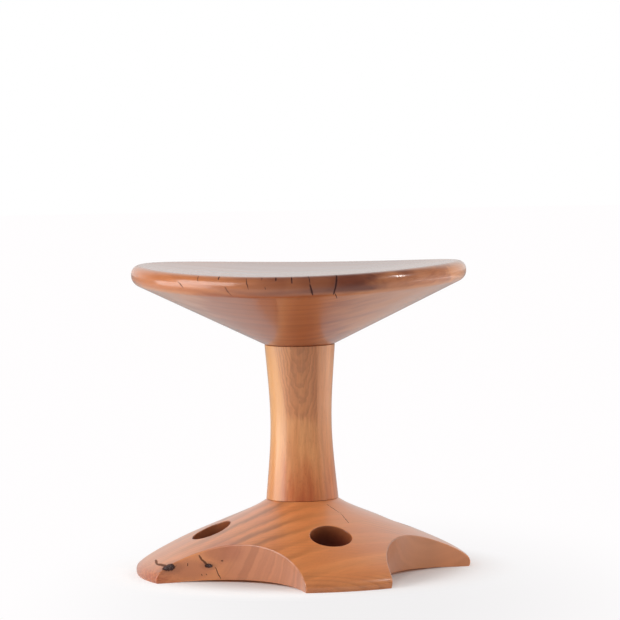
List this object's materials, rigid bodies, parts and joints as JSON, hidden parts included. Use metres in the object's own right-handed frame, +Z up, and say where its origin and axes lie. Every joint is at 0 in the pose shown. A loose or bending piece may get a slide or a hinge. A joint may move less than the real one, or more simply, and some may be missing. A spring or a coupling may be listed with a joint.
{
  "type": "pedestal stool",
  "caption": "Turned wooden pedestal stool: a dished saddle seat on a waisted column, standing in a low bell base scalloped into feet, with a round bore above each foot.",
  "frame": {"origin": "on the floor, at the centre of the base", "axes": "+Z up along the column, +X to the right of the pictured side and -Y towards it"},
  "size_m": [0.4666, 0.4666, 0.4296],
  "materials": {
    "base_wood": "satin oiled hardwood, orange brown with dark stripes",
    "column_wood": "satin oiled hardwood, honey brown with upright grain",
    "seat_wood": "satin oiled hardwood, red brown with drying checks in the rim",
    "wedge_wood": "plain dark hardwood"
  },
  "bodies": {
    "root": {"base": "base_wood", "column": "column_wood", "seat": "seat_wood", "tenon_wedge": "wedge_wood"}
  },
  "joints": []
}
